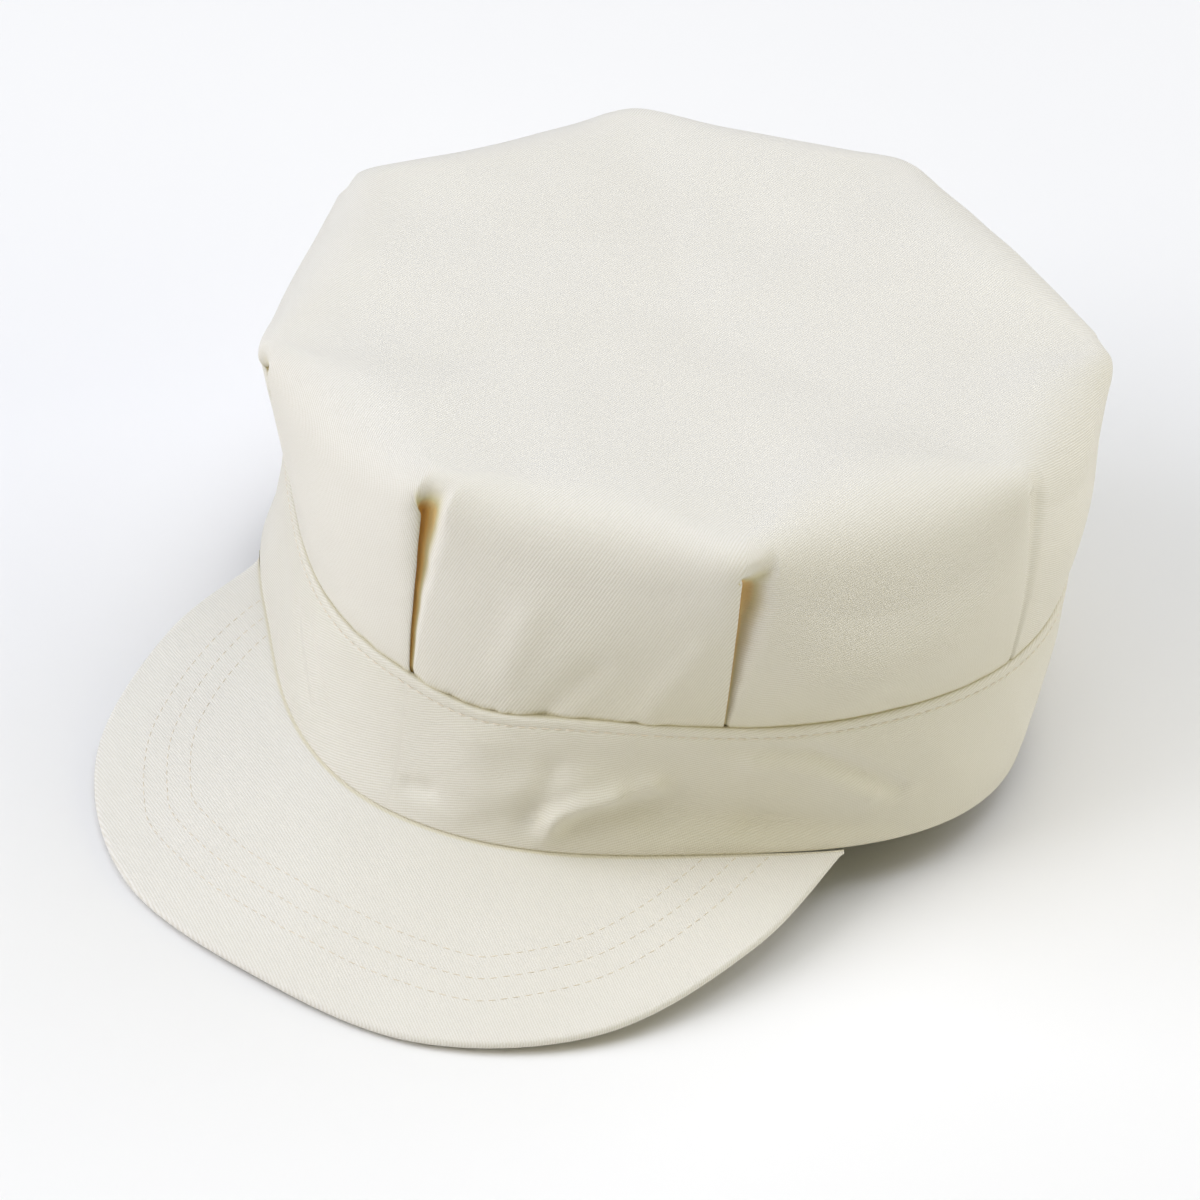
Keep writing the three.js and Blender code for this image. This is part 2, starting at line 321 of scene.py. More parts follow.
def side_shade(angle, low):
    """Painted shade on the cap's sides round one angle past the front, stronger lower down, where low is 0
    high up and 1 low down.
    """
    return SIDE_PAINTED_SHADE * bell(wrapped(angle - SIDE_SHADE_ANGLE), SIDE_SHADE_REACH) * np.clip(low, 0, 1)


# Headband


def band_top(angle):
    return BAND_HEIGHT - BAND_RISE * np.cos(np.radians(angle))


def seam_height(angle):
    """The seam between headband and crown, with its droops at the front."""
    height = band_top(angle)
    for centre, deep, reach in SEAM_DROOPS:
        height = height - deep * bell(wrapped(angle - centre), reach)
    return height


def dent_depth(angle, height):
    depth = 0
    for centre, middle, deep, half_angle, half_height, lean in BAND_DENTS:
        across = wrapped(angle - centre - lean * (height - middle)) / half_angle
        up = (height - middle) / half_height
        depth = depth + deep * np.exp(-across * across - up * up)
    return depth


def band_radius(angle, share):
    shape = mix(round_value(BAND_LOWER, angle), round_value(BAND_UPPER, angle), share * (2 - share))
    return HEAD_GIRTH / (2 * math.pi) + shape - dent_depth(angle, share * band_top(angle))


# Placing: the lean comes from the mount's axis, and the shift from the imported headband's box

axis = frame["record"]["mounts"][0]["axis"]
LEAN = Matrix.Rotation(math.atan2(axis[1], -axis[2]), 4, "X")


def packed_place():
    angles = np.arange(CAD_BAND_COLUMNS) * 360 / CAD_BAND_COLUMNS
    shares = np.array([0, 0.14, 0.3, 0.48, 0.66, 0.84, 1])[:, None]
    skin = round_point(angles, band_radius(angles, shares), shares * band_top(angles))
    leaned = skin.reshape(-1, 3) @ np.array(LEAN.to_3x3()).T
    low, high = (np.array(corner) * 1000 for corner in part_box("band"))
    return (low + high) / 2 - (leaned.min(0) + leaned.max(0)) / 2


PLACE = packed_place()


def placed(points):
    """Millimetres in the cap's own frame to metres where the part rests."""
    return (points.reshape(-1, 3) @ np.array(LEAN.to_3x3()).T + PLACE) / 1000


# Meshes


def grid_faces(rows, columns, round_about):
    """Quads between the rows of a grid, facing out where rows run up and columns run towards +X."""
    row = np.arange(rows - 1)[:, None]
    column = np.arange(columns if round_about else columns - 1)[None, :]
    after = (column + 1) % columns
    corners = [row * columns + column, row * columns + after]
    corners += [(row + 1) * columns + after, (row + 1) * columns + column]
    return np.stack(np.broadcast_arrays(*corners), axis=-1).reshape(-1, 4)


def make_piece(name, points, faces, material, cloth_places=None, painted_shade=None, seam=None):
    """A smooth mesh that rides on the part. cloth_places are where its points lie on the flat cloth,
    in millimetres, seam mends these at the cloth's join, and the painted shade of each point, 0 to 1,
    darkens and warms its colour."""
    mesh = bpy.data.meshes.new(name)
    mesh.from_pydata(placed(points).tolist(), [], list(faces))
    mesh.update()
    loops = np.empty(len(mesh.loops), dtype=int)
    mesh.loops.foreach_get("vertex_index", loops)
    if cloth_places is not None:
        layer = mesh.uv_layers.new(name="cloth")
        flat = cloth_places.reshape(-1, 2)[loops]
        if seam is not None:
            flat = seam(flat)
        layer.data.foreach_set("uv", flat.astype(np.float32).ravel())
    if painted_shade is not None:
        layer = mesh.attributes.new("painted_shade", "FLOAT", "POINT")
        layer.data.foreach_set("value", painted_shade.reshape(-1).astype(np.float32))
    mesh.polygons.foreach_set("use_smooth", np.ones(len(mesh.polygons), dtype=bool))
    mesh.materials.append(material)
    piece = bpy.data.objects.new(name, mesh)
    bpy.context.scene.collection.objects.link(piece)
    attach(piece, "root")
    return piece


# Crown


def sharp_edge_point(place):
    """The crown's edge before its corners are softened, at a number of panels round from the front."""
    panel = np.floor(place)
    share = place - panel
    corner = np.mod(panel.astype(int), 8)
    after = (corner + 1) % 8
    angles, radii, heights, swells, sags = (
        np.array(values, float)
        for values in (CORNER_ANGLES, CORNER_RADII, CORNER_HEIGHTS, CORNER_SWELLS, CORNER_SAGS)
    )
    span = np.mod(angles[after] - angles[corner], 360)
    past = span * share
    weight = radii[corner] * np.sin(np.radians(past))
    weight_after = radii[after] * np.sin(np.radians(span - past))
    along = weight / (weight + weight_after)
    middle = 4 * along * (1 - along)
    roll = mix(CORNER_ROLL, np.array(PANEL_ROLLS, float)[corner], middle)
    chord = radii[corner] * radii[after] * np.sin(np.radians(span)) / (weight + weight_after)
    angle = panel * CORNER_STEP + angles[corner] - corner * CORNER_STEP + past
    height = mix(heights[corner], heights[after], along) - sags[corner] * middle + ROLL_LOSS * roll
    swell = mix(swells[corner], swells[after], along) + np.array(PANEL_SWELLS, float)[corner] * middle
    return angle, chord + ROLL_LOSS * roll, height, swell, roll


EDGE_SAMPLES = 64
EDGE_REACH = 24


def softened_edge():
    """Evenly spaced points of the crown's edge, as offsets from their panels, with its corners eased."""
    place = np.arange(8 * EDGE_SAMPLES) / EDGE_SAMPLES
    angle, *sizes = sharp_edge_point(place)
    ring = np.stack([angle - place * CORNER_STEP, *sizes])
    reach = np.arange(-EDGE_REACH, EDGE_REACH + 1) / EDGE_SAMPLES
    weights = bell(reach, CORNER_SOFTNESS)
    padded = np.concatenate([ring[:, -EDGE_REACH:], ring, ring[:, :EDGE_REACH]], axis=1)
    eased = np.stack([np.convolve(row, weights / weights.sum(), "valid") for row in padded])
    eased[1] += CORNER_PUSH * bell(np.mod(place + 0.5, 1) - 0.5, CORNER_WIDTH)
    return np.concatenate([eased, eased[:, :1]], axis=1)


def edge_point(place):
    """The crown's edge at a number of panels round from the front corner."""
    at = np.mod(place, 8) * EDGE_SAMPLES
    row = np.minimum(np.floor(at).astype(int), 8 * EDGE_SAMPLES - 1)
    turned, radius, height, swell, roll = mix(SOFT_EDGE[:, row], SOFT_EDGE[:, row + 1], at - row)
    return place * CORNER_STEP + turned, radius, height, swell, roll


SOFT_EDGE = softened_edge()


def stretched_height(place, out):
    """The top's height, stretched like a skin over its rim: short waves of the rim die out first."""
    waves = RIM_WAVES * out[..., None] ** WAVE_NUMBERS
    turn = np.exp(2j * math.pi * place[..., None] / 8 * WAVE_NUMBERS)
    crowned = CROWN_CENTRE_HEIGHT - RIM_WAVES[0].real
    return (waves * turn).sum(axis=-1).real + crowned * (1 - out**2)


def crown_shell(place, rise):
    """The crown without its pleats: rise runs to 1 up the side, to 2 over the edge, to 3 at the centre."""
    edge_angle, edge_radius, edge_height, swell, roll = edge_point(place)
    foot_angle = place * CORNER_STEP
    foot = np.stack([band_radius(foot_angle, 1) - SEAM_TUCK, seam_height(foot_angle) + SEAM_GAP])
    rim = np.stack([edge_radius, edge_height])
    centre = np.stack([np.zeros_like(place), np.full_like(place, CROWN_CENTRE_HEIGHT)])
    to_foot, to_centre = foot - rim, centre - rim
    roll_start = rim + to_foot / np.hypot(*to_foot) * roll
    roll_end = rim + to_centre / np.hypot(*to_centre) * roll

    side = mix(foot, roll_start, rise)
    side[0] += swell * np.sin(math.pi * np.clip(rise, 0, 1))
    turn = np.clip(rise - 1, 0, 1)
    edge = mix(mix(roll_start, rim, turn), mix(rim, roll_end, turn), turn)
    out = 1 - np.clip(rise - 2, 0, 1)
    top = np.stack([roll_end[0] * out, stretched_height(place, out)])
    radius, height = np.where(rise < 1, side, np.where(rise < 2, edge, top))
    share = np.minimum((height - foot[1]) / (rim[1] - foot[1]), 1)
    return round_point(mix(foot_angle, edge_angle, share), radius, height)


def rim_waves(count):
    """The height of the top's rim as a sum of waves round the crown."""
    place = np.arange(256) / 256 * 8
    _, radius, height, _, roll = edge_point(place)
    slope = CROWN_CENTRE_HEIGHT - height
    rim = height + slope / np.hypot(slope, radius) * roll
    waves = np.fft.rfft(rim)[:count] / len(rim) * 2
    waves[0] /= 2
    return waves


def pleat_path(share, panel_columns, pleat):
    """Across a pleat and on to the next: millimetres along the crown, depths, and how far each place
    lies in the pleat's shade, from 0 to 1, at each share of the side."""

    def row(values):
        return table_value(PLEAT_SHARES, values, share)[:, None]

    drop_size, gap_size, roll_size, mouth_size, shoulder_size, deep_shade = pleat[:6]
    low, high, slant, start, closed = pleat[6:]
    drop, gap, roll = row(PLEAT_DROP) * drop_size, row(PLEAT_GAP) * gap_size, row(PLEAT_ROLL) * roll_size
    shoulder, lap = row(PLEAT_SHOULDER) * shoulder_size, row(PLEAT_LAP)
    mouth = row(PLEAT_MOUTH) * mouth_size
    under = drop + PLEAT_FOLD
    floor = under + gap
    counts = [*PLEAT_STEPS, panel_columns]
    steps = [np.linspace(0, 1, count, endpoint=False) for count in counts]
    shoulder_turn, tip_turn, inner_turn = steps[0] * math.pi / 2, steps[1] * math.pi / 2, steps[3] * math.pi
    climb = floor * (1 - steps[5]) ** 2 * (1 + 2 * steps[5] * (1 - steps[5]) ** 2)
    stretches = [
        (-shoulder * (1 - np.sin(shoulder_turn)), drop * (1 - np.cos(shoulder_turn)), 0),
        (-PLEAT_FOLD * (1 - np.cos(tip_turn)), drop + PLEAT_FOLD * np.sin(tip_turn), steps[1]),
        (mix(-PLEAT_FOLD, -lap, steps[2]), under, 1),
        (-lap - gap / 2 * np.sin(inner_turn), under + gap / 2 * (1 - np.cos(inner_turn)), 1),
        (mix(-lap, mouth, steps[4]), floor, 1),
        (mix(mouth, mouth + roll, steps[5]), climb, 1),
        (mix(mouth + roll, PANEL_WIDTH - shoulder, steps[6]), 0, 0),
    ]
    widths = [(len(share), count) for count in counts]
    along, depths, shade = (
        np.concatenate(
            [np.broadcast_to(stretch[part], width) for stretch, width in zip(stretches, widths)], axis=1
        )
        for part in range(3)
    )
    # Painted shade: the pleat's shade fades away from under its fold, scaled for each pleat.
    shade = shade * np.exp(-((np.maximum(along, 0) / (0.5 + 0.6 * gap)) ** 1.5)) * deep_shade
    zone = along.shape[1] - len(steps[6])
    flat = mix(-shoulder, mouth + roll, np.linspace(0, 1, zone, endpoint=False))
    middle = mouth / 2 + 0.2 * roll + 0.4
    wall = np.where(flat < middle, middle + 0.15 * shoulder, 0.8 * (mouth + roll - middle))
    hollow = floor * (1 - np.minimum(np.abs(flat - middle) / wall, 1) ** 2) ** 1.5
    overhang = smoothstep(share, start, closed)[:, None]
    along[:, :zone] = mix(flat, along[:, :zone], overhang)
    depths[:, :zone] = mix(hollow, depths[:, :zone], overhang)
    pocket = smoothstep(share[:, None] - slant * np.maximum(along, 0), high, low)
    return along, depths * pocket, shade * overhang * smoothstep(pocket, 0.3, 0.8)


WAVE_NUMBERS = np.arange(26)
RIM_WAVES = rim_waves(len(WAVE_NUMBERS))


def make_crown(material):
    side = mix(FOOT_RISE, 0.6, np.linspace(0, 1, 22, endpoint=False) ** 1.5)
    brow = np.linspace(0.6, 1, 26, endpoint=False)
    edge = np.linspace(1, 2, 24, endpoint=False)
    top = 2 + np.linspace(0, 1, 14, endpoint=False)
    rise = np.concatenate([side, brow, edge, top])
    fold_share = np.interp(rise, [0, 1, 2, 3], [0, 0.88, 1.05, 1.2])
    places, depths, shades, turns = [], [], [], []
    for corner in range(8):
        along, depth, shade = pleat_path(fold_share, PANEL_COLUMNS[corner], PLEATS[corner])
        places.append(corner + along / PANEL_WIDTH)
        depths.append(depth)
        shades.append(shade)
        column = np.arange(along.shape[1])
        turns.append(corner - 1 + smoothstep(column, *GRAIN_TURN))
    place, depth, shade, panel = (
        np.concatenate(part, axis=-1) for part in (places, depths, shades, turns)
    )
    rise = rise[:, None]
    shell = crown_shell(place, rise)

    angle = np.degrees(np.arctan2(shell[..., 0], -shell[..., 1]))
    lift = np.clip(rise - 1, 0, 1) * math.pi / 2
    outward = round_point(angle, np.cos(lift), np.sin(lift) + 0 * angle)
    # Painted shade: the pleats' recesses take a darker, warmer colour, by the pleat's shade and by their
    # depth.
    painted_shade = np.maximum(shade, FOLD_PAINTED_SHADE * smoothstep(depth, 0.5, 5.5))
    loose = smoothstep(rise, 0, 0.25) * (1 - painted_shade)
    relief = loose * ripples(shell, CROWN_RIPPLES)
    relief = relief - (1 - painted_shade) * crease_depth(CROWN_CREASES, angle, shell[..., 2])
    girth = round_point(angle, HEAD_GIRTH / (2 * math.pi), 0)
    puckered = bell(angle - PUCKER_ANGLE, PUCKER_SPREAD) + PUCKER_REST
    above = np.maximum(rise, 0) * SIDE_HEIGHT
    low = np.exp(-above / PUCKER_REACH) * (rise < 1)
    relief = relief + PUCKER * puckered * low * ripple(girth, PUCKER_WAVELENGTH, PUCKER_SEED)
    for tuck_angle, deep in SEAM_TUCKS:
        off = (angle - tuck_angle - above * TUCK_SLANT) * DEGREE
        fading = np.exp(-above / (TUCK_REACH + deep)) * (rise < 1)
        relief = relief - deep * bell(off, TUCK_WIDTH) * fading
    foot_groove = bell(above, SEAM_WIDTH)
    relief = relief - SEAM_DEPTH * foot_groove
    # Painted shade in the seam's groove, and painted shade darkening the cloth towards the seam and on the
    # front sides lower down.
    foot_shade = SEAM_PAINTED_SHADE * np.exp(-above / SEAM_PAINTED_SHADE_REACH)
    painted_shade = np.maximum(painted_shade, GROOVE_PAINTED_SHADE * foot_groove + foot_shade + side_shade(angle, 1 - rise))
    points = shell + outward * (relief - depth)[..., None]

    # The cloth unfolded: the top as seen from above, and each side turned out flat from its own edge
    edge_row = np.searchsorted(rise[:, 0], 2)
    steps = np.linalg.norm(np.diff(shell[: edge_row + 1], axis=0), axis=-1)
    down = np.zeros(place.shape)
    down[:edge_row] = np.cumsum(steps[::-1], axis=0)[::-1]
    out = round_point((panel + 0.5) * CORNER_STEP, 1, 0)[..., :2]
    flat = crown_shell(place, np.maximum(rise, 2))[..., :2] + out * down[..., None]

    rows, columns = place.shape
    faces = grid_faces(rows, columns, True)
    last = (rows - 1) * columns
    hub = rows * columns
    column = np.arange(columns)
    after = (column + 1) % columns
    fan = np.stack([last + column, last + after, np.full(columns, hub)], axis=1)
    points = np.concatenate([points.reshape(-1, 3), [[0, 0, CROWN_CENTRE_HEIGHT]]])
    flat = np.concatenate([flat.reshape(-1, 2), [[0, 0]]])
    painted_shade = np.append(painted_shade.reshape(-1), 0)
    faces = faces.tolist() + fan.tolist()
    crown = make_piece("crown_cloth", points, faces, material, flat, painted_shade)
    thickness = crown.modifiers.new("thickness", "SOLIDIFY")
    thickness.thickness = CLOTH / 1000
    thickness.offset = -1
    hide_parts("crown")


# Headband


def band_surface(angle, height):
    """The headband's outer radius with its small folds and the groove under its topstitching."""
    top = seam_height(angle)
    radius = band_radius(angle, np.clip(height / top, 0, 1))
    base = round_point(angle, radius, height)
    soft = smoothstep(height, 0, 6) * smoothstep(top - height, 1, 8)
    radius = radius + soft * ripples(base, BAND_RIPPLES)
    radius = radius - soft * crease_depth(BAND_CREASES, angle, height)
    return radius - STITCH_GROOVE * bell(top - height - STITCH_DROP, STITCH_GROOVE_WIDTH)


def make_band(material):
    angle = 180 + np.arange(BAND_COLUMNS) * 360 / BAND_COLUMNS
    top = seam_height(angle)
    bend = np.linspace(0, math.pi / 2, 6)
    low = [(BAND_FOOT * (1 - math.sin(b)), BAND_FOOT * (1 - math.cos(b))) for b in bend]
    rows = [(inset, height + 0 * angle) for inset, height in low]
    for share in np.linspace(0, 1, 34)[1:]:
        rows.append((0, mix(BAND_FOOT, top - FINE_DEPTH, share)))
    for drop in np.arange(FINE_DEPTH - FINE_STEP, BAND_LIP, -FINE_STEP):
        rows.append((0, top - drop))
    for b in bend[:-1]:
        rows.append((BAND_LIP * (1 - math.cos(b)), top - BAND_LIP * (1 - math.sin(b))))
    rows.append((BAND_LIP, top))
    rows.append((BAND_WALL - INNER_EDGE, top))
    rows.append((BAND_WALL, top - INNER_EDGE))
    for share in np.linspace(1, 0, 16)[1:-1]:
        rows.append((BAND_WALL, mix(0.6, top - 0.6, share)))
    rows.append((BAND_WALL - INNER_EDGE, 0 * angle))
    rings, flats = [], []
    length = 0
    for row, (inset, height) in enumerate(rows):
        height = height + 0 * angle
        inner = inset > BAND_LIP + 0.1
        plain = band_radius(angle, np.clip(height / top, 0, 1))
        radius = plain if inner else band_surface(angle, height)
        ring = round_point(angle, radius - inset, height)
        if row:
            length = length + np.linalg.norm(ring - rings[-1], axis=-1)
        rings.append(ring)
        flats.append(np.stack([(angle - 180) / 360 * HEAD_GIRTH, length + 0 * angle], axis=-1))
    points, flat = np.stack(rings), np.stack(flats)
    faces = grid_faces(len(rows), BAND_COLUMNS, True)
    closing = grid_faces(2, BAND_COLUMNS, True)
    last = (len(rows) - 1) * BAND_COLUMNS
    closing = np.where(closing < BAND_COLUMNS, closing + last, closing - BAND_COLUMNS)
    faces = np.concatenate([faces, closing])

    def rejoin(places):
        """The faces over the join take the end of the cloth and not its start."""
        quads = places.reshape(-1, 4, 2).copy()
        late = quads[..., 0] > HEAD_GIRTH / 2
        wraps = late.any(axis=1) & (~late).any(axis=1)
        quads[wraps, :, 0] += np.where(late[wraps], 0, HEAD_GIRTH)
        return quads.reshape(-1, 2)

    inset = np.array([inset for inset, _ in rows])[:, None] + 0 * angle
    drop = top - np.array([height + 0 * angle for _, height in rows])
    # Painted shade: the lip where it turns in at the seam, the cloth towards the seam, the front sides
    # lower down and the lower edge take a darker, warmer colour.
    painted_shade = smoothstep(inset, 0.6, 1.1) * LIP_PAINTED_SHADE * (drop < 3)
    painted_shade = painted_shade + SEAM_PAINTED_SHADE * np.exp(-drop / SEAM_PAINTED_SHADE_REACH)
    painted_shade = painted_shade + side_shade(angle, 0.4 + 0.6 * drop / top)
    painted_shade = painted_shade + SEAM_SHADE * bell(top - drop, SEAM_SHADE_REACH)
    band = make_piece("headband", points, faces, material, flat, painted_shade, rejoin)
    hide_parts("band")


# Peak


def peak_outline():
    """The peak's free edge as many evenly spaced points, from one seam end to the other."""
    seam_end = round_point(PEAK_HALF_ANGLE, band_radius(PEAK_HALF_ANGLE, 0), -SEAM_GAP)
    right = [np.array([side, -reach, -drop]) for side, reach, drop in PEAK_OUTLINE] + [seam_end]
    left = [point * [-1, 1, 1] for point in right[:0:-1]]
    knots = np.array(left + right)
    knots = np.concatenate([[2 * knots[0] - knots[1]], knots, [2 * knots[-1] - knots[-2]]])
    share = np.linspace(0, 1, 80, endpoint=False)[:, None]
    line = []
    for before, start, end, after in zip(knots, knots[1:], knots[2:], knots[3:]):
        gaps = [math.sqrt(np.linalg.norm(b - a)) for a, b in ((before, start), (start, end), (end, after))]
        run_in, run, run_out = (start - before) / gaps[0], (end - start) / gaps[1], (after - end) / gaps[2]
        slope_out = run_in - (end - before) / (gaps[0] + gaps[1]) + run
        slope_in = run - (after - start) / (gaps[1] + gaps[2]) + run_out
        slope_out, slope_in = slope_out * gaps[1], slope_in * gaps[1]
        line.append(cubic(start, end, slope_out, slope_in, share))
    line = np.concatenate(line + [[knots[-2]]])
    walked = np.concatenate([[0], np.cumsum(np.linalg.norm(np.diff(line, axis=0), axis=1))])
    return line, walked / walked[-1]


PEAK_LINE, PEAK_WALKED = peak_outline()

# The outer stitch row of the peak, to the side and forward of the middle; the others lie inside it
STITCH_ROW = [
    (0, 131.5), (22, 130), (42.4, 124.2), (52, 117),
    (62.8, 103), (68.6, 88), (71.4, 70), (71.6, 51),
]
ROW_STEP = 5.1
ROWS = 3


def peak_frame(share):
    """The peak's seam point, free edge point and upward direction at a share of the way across."""
    angle = mix(-PEAK_HALF_ANGLE, PEAK_HALF_ANGLE, share)
    seam = round_point(angle, band_radius(angle, 0), -SEAM_GAP)
    edge = np.stack([np.interp(share, PEAK_WALKED, PEAK_LINE[:, i]) for i in range(3)], axis=-1)
    run = np.maximum(np.linalg.norm((edge - seam)[..., :2], axis=-1), PEAK_EDGE)
    outward = round_point(angle, 1, 0) * (seam - edge)[..., 2:]
    up = unit(outward + np.stack([0 * run, 0 * run, run], axis=-1))
    return seam, edge, up, run


def peak_top(share, along):
    """A point of the peak's upper side, from the seam to the free edge."""
    seam, edge, up, _ = peak_frame(share)
    bow = PEAK_BOW * np.sin(math.pi * np.clip(along, 0, 1)) * np.sin(math.pi * share)
    point = mix(seam, edge, along[..., None]) + up * bow[..., None]
    relief = smoothstep(along, 0, 0.15) * smoothstep(along, 1, 0.9) * ripples(point, PEAK_RIPPLES)
    return point + up * relief[..., None]


def stitch_row(number):
    """Points of a row of stitches on the peak, from its left end to its right one."""
    side, reach = np.array(STITCH_ROW, float).T
    keys = np.linspace(0, 1, len(side))
    at = np.linspace(0, 1, 500)
    bends = np.stack([smooth_through(keys, side, at), smooth_through(keys, reach, at)], axis=-1)
    normal = unit(np.gradient(bends, axis=0) @ [[0, -1], [1, 0]])
    bends = bends + normal * ROW_STEP * number
    line = np.concatenate([bends[:0:-1] * [-1, 1], bends]) * [1, -1]
    low, high = np.zeros(len(line)), np.ones(len(line))
    for _ in range(30):
        share = (low + high) / 2
        seam, edge, _, _ = peak_frame(share)
        run, offset = (edge - seam)[:, :2], line - seam[:, :2]
        beyond = run[:, 0] * offset[:, 1] - run[:, 1] * offset[:, 0] > 0
        low, high = np.where(beyond, share, low), np.where(beyond, high, share)
    along = (offset * run).sum(-1) / (run * run).sum(-1)
    kept = along > 0.005
    share, along = share[kept], along[kept]
    return peak_top(share, along), peak_frame(share)[2]


def make_peak(material):
    share = np.linspace(0.003, 0.997, 260)
    along = np.concatenate([[-0.03, 0, 0.005, 0.01, 0.016], np.linspace(0.024, 0.98, 61)])[:, None]
    seam, edge, up, run = peak_frame(share)
    fade = np.minimum(run / PEAK_FADE, 1)
    thickness = (PEAK_THICKNESS - PEAK_SLIMMING) * fade[None, :, None]
    edge_back = np.minimum(PEAK_EDGE / run, 0.5)
    upper = peak_top(share + 0 * along, along * (1 - edge_back) / 0.98)
    bend = np.linspace(0, math.pi, 10)[1:-1][:, None, None]
    shoulder = upper[-1:]
    lip = shoulder - up * thickness * (1 - np.cos(bend)) / 2
    lip = lip + unit(edge - seam) * np.sin(bend) * np.minimum(PEAK_EDGE, run[:, None] * 0.5)
    under = upper[::-1] - up * thickness
    grid = np.concatenate([upper, lip, under])
    rows, columns = grid.shape[:2]
    faces = grid_faces(rows, columns, False)
    column = np.arange(columns - 1)
    last = (rows - 1) * columns
    closing = np.stack([column, column + 1, column + 1 + last, column + last], axis=1)
    flat = np.stack([grid[..., 0], -grid[..., 1] * 1.01], axis=-1)
    near = np.linalg.norm(grid - seam, axis=-1)
    # Painted shade along the peak's seam with the headband.
    painted_shade = SEAM_SHADE * bell(near, SEAM_SHADE_REACH)
    faces = np.concatenate([faces, closing])
    peak = make_piece("peak_cloth", grid, faces, material, flat, painted_shade)
    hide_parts("peak")


# Stitching


def make_stitches(name, path, out, pitch, width, material):
    """A row of thread stitches along a path in millimetres, lying on a surface that faces out."""
    walked = np.concatenate([[0], np.cumsum(np.linalg.norm(np.diff(path, axis=0), axis=1))])
    count = int(walked[-1] / pitch)
    chance = np.random.default_rng(len(name))
    rings = np.linspace(-1, 1, 7)
    round_about = np.arange(6) * math.pi / 3
    points, faces = [], []
    for stitch in range(count):
        middle = (stitch + 0.5 + chance.uniform(-0.04, 0.04)) * walked[-1] / count
        half = pitch * 0.42
        at = middle + rings * half
        centre = np.stack([np.interp(at, walked, path[:, i]) for i in range(3)], axis=1)
        normal = unit(np.stack([np.interp(at, walked, out[:, i]) for i in range(3)], axis=1))
        ahead = unit(np.gradient(centre, axis=0))
        side = np.cross(normal, ahead)
        swell = np.sqrt(np.maximum(1 - np.abs(rings) ** 3, 0.02)) * width / 2
        sink = -width * 0.9 * np.abs(rings) ** 3
        for ring in range(len(rings)):
            turn = normal[ring] * np.sin(round_about)[:, None] + side[ring] * np.cos(round_about)[:, None]
            points.append(centre[ring] + normal[ring] * sink[ring] + turn * swell[ring])
        first = stitch * len(rings) * len(round_about)
        faces.append(grid_faces(len(rings), len(round_about), True)[:, ::-1] + first)
    make_piece(name, np.concatenate(points), np.concatenate(faces), material)


# Materials


def node(tree, kind, links=(), **values):
    """A shader node with its settings, and its inputs either set or joined to other nodes' outputs."""
    made = tree.nodes.new(kind)
    for key, value in values.items():
        setattr(made, key, value)
    for key, value in dict(links).items():
        if isinstance(value, bpy.types.NodeSocket):
            tree.links.new(value, made.inputs[key])
        else:
            made.inputs[key].default_value = value
    return made


def maths(tree, operation, first, second=0.0):
    made = node(tree, "ShaderNodeMath", {0: first, 1: second}, operation=operation)
    return made.outputs[0]


def blend(tree, share, first, second):
    """The first colour, turned into the second by a share from 0 to 1."""
    return node(tree, "ShaderNodeMix", {0: share, 6: first, 7: second}, data_type="RGBA").outputs[2]


def spread(tree, value, low, high, top=1.0):
    """A value's run from low to high, spread from 0 to top."""
    ends = {"From Min": low, "From Max": high, "To Min": 0.0, "To Max": top}
    return node(tree, "ShaderNodeMapRange", {"Value": value, **ends}).outputs[0]


def linear(colour):
    """A colour in screen values from 0 to 255 as the shader's linear values."""
    shares = [c / 255 for c in colour]
    return [s / 12.92 if s <= 0.04045 else ((s + 0.055) / 1.055) ** 2.4 for s in shares] + [1]


# Painted shade colours: olive for light shade, and golden brown for the deep shade in the pleats.
OLIVE_SHADE_COLOUR = (206, 198, 158)
DEEP_SHADE_COLOUR = (232, 188, 110)
WEFT_PITCH = 0.48


